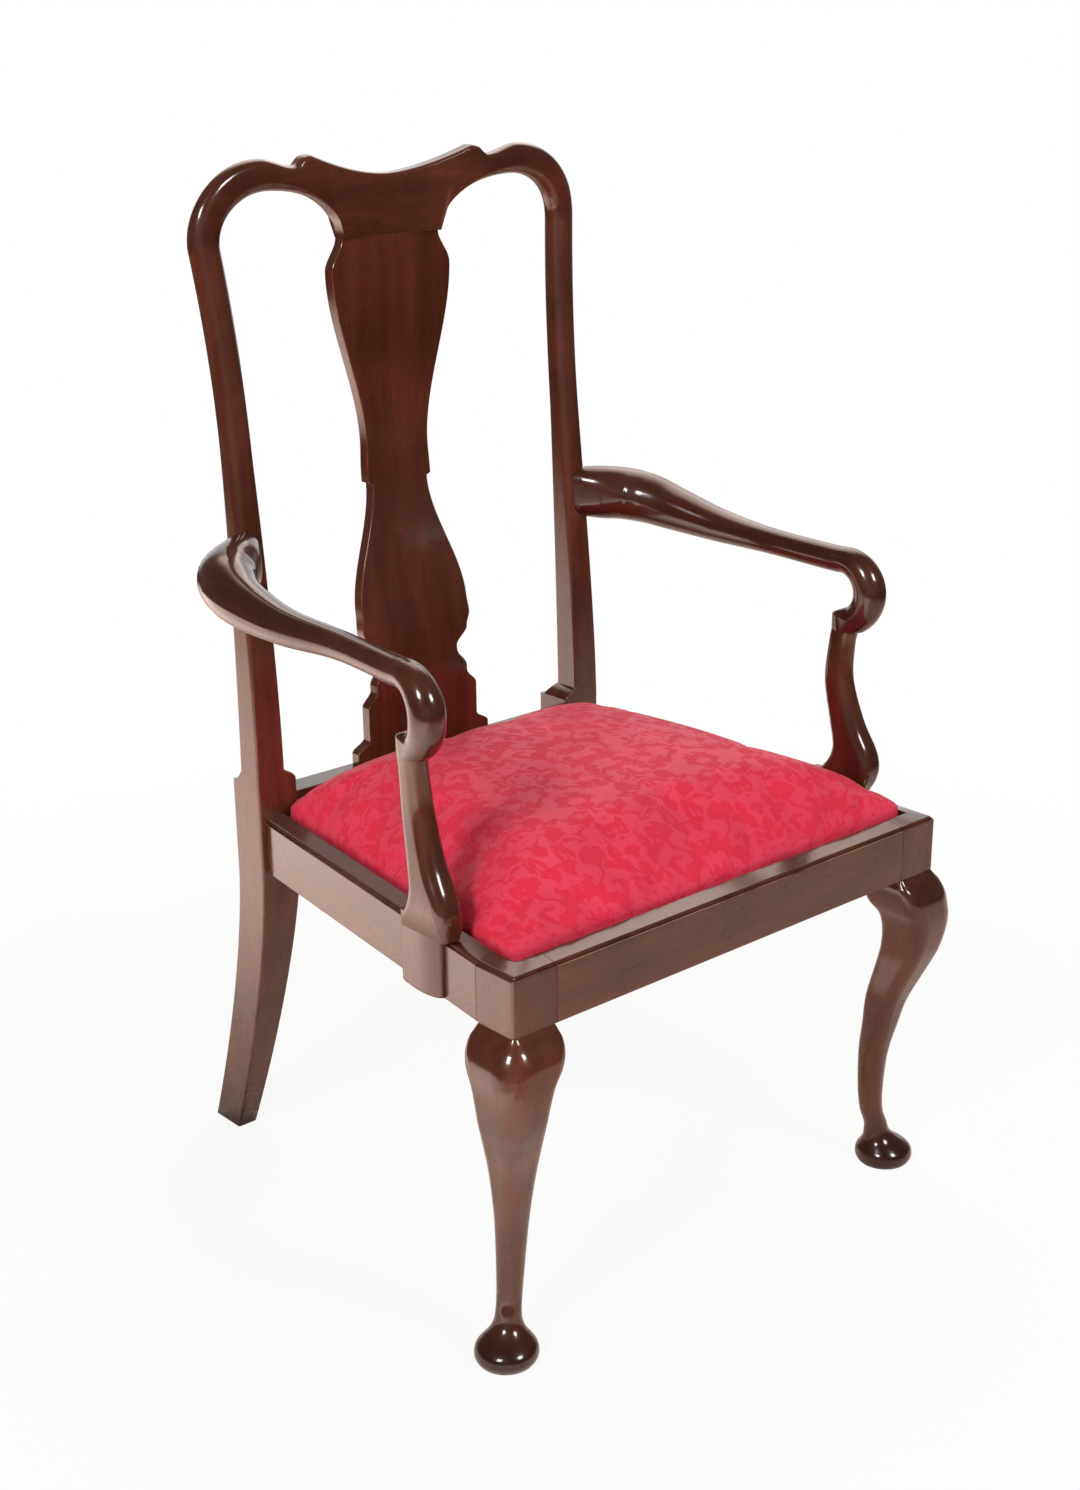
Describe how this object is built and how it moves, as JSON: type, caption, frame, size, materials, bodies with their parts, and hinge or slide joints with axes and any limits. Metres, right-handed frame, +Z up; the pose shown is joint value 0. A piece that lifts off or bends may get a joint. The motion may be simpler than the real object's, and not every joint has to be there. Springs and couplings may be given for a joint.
{
  "type": "child's armchair",
  "caption": "Child's open armchair in polished mahogany with cabriole front legs, a vase splat, crook arms and a crimson damask drop-in seat.",
  "frame": {"origin": "centre of the footprint on the floor", "axes": "+Z up, the chair faces -Y, +X to the chair's right as seen from the front"},
  "size_m": [0.4284, 0.4372, 0.7296],
  "materials": {
    "mahogany": "dark red-brown mahogany, French polished to a high gloss",
    "beech": "plain beech, sawn and unpolished",
    "screw_steel": "plain steel wood screws",
    "crimson_damask": "tone-on-tone crimson damask",
    "jute": "woven jute webbing and hessian",
    "stuffing": "curled hair and wadding"
  },
  "bodies": {
    "chair_frame": {"arm_dowel_left": "beech", "arm_dowel_right": "beech", "arm_left": "mahogany", "arm_right": "mahogany", "arm_screw_left": "screw_steel", "arm_screw_right": "screw_steel", "arm_support_left": "mahogany", "arm_support_right": "mahogany", "corner_block_front_left": "beech", "corner_block_front_right": "beech", "corner_block_rear_left": "beech", "corner_block_rear_right": "beech", "corner_screw_front_left_rail": "screw_steel", "corner_screw_front_left_side": "screw_steel", "corner_screw_front_right_rail": "screw_steel", "corner_screw_front_right_side": "screw_steel", "corner_screw_rear_left_rail": "screw_steel", "corner_screw_rear_left_side": "screw_steel", "corner_screw_rear_right_rail": "screw_steel", "corner_screw_rear_right_side": "screw_steel", "crest_rail": "mahogany", "front_leg_left": "mahogany", "front_leg_right": "mahogany", "front_rail": "mahogany", "rear_leg_left": "mahogany", "rear_leg_right": "mahogany", "rear_rail": "mahogany", "side_rail_left": "mahogany", "side_rail_right": "mahogany", "splat": "mahogany", "splat_shoe": "mahogany", "support_screw_left_front": "screw_steel", "support_screw_left_rear": "screw_steel", "support_screw_right_front": "screw_steel", "support_screw_right_rear": "screw_steel"},
    "slip_seat": {"seat_cover": "crimson_damask", "seat_frame_front": "beech", "seat_frame_left": "beech", "seat_frame_rear": "beech", "seat_frame_right": "beech", "seat_hessian": "jute", "seat_stuffing": "stuffing", "webbing_cross_1": "jute", "webbing_cross_2": "jute", "webbing_cross_3": "jute", "webbing_long_1": "jute", "webbing_long_2": "jute", "webbing_long_3": "jute"}
  },
  "joints": [
    {"name": "seat_lift", "type": "slide", "parent": "chair_frame", "child": "slip_seat", "axis": [0, 0, 1], "range_m": [0, 0.25]}
  ]
}
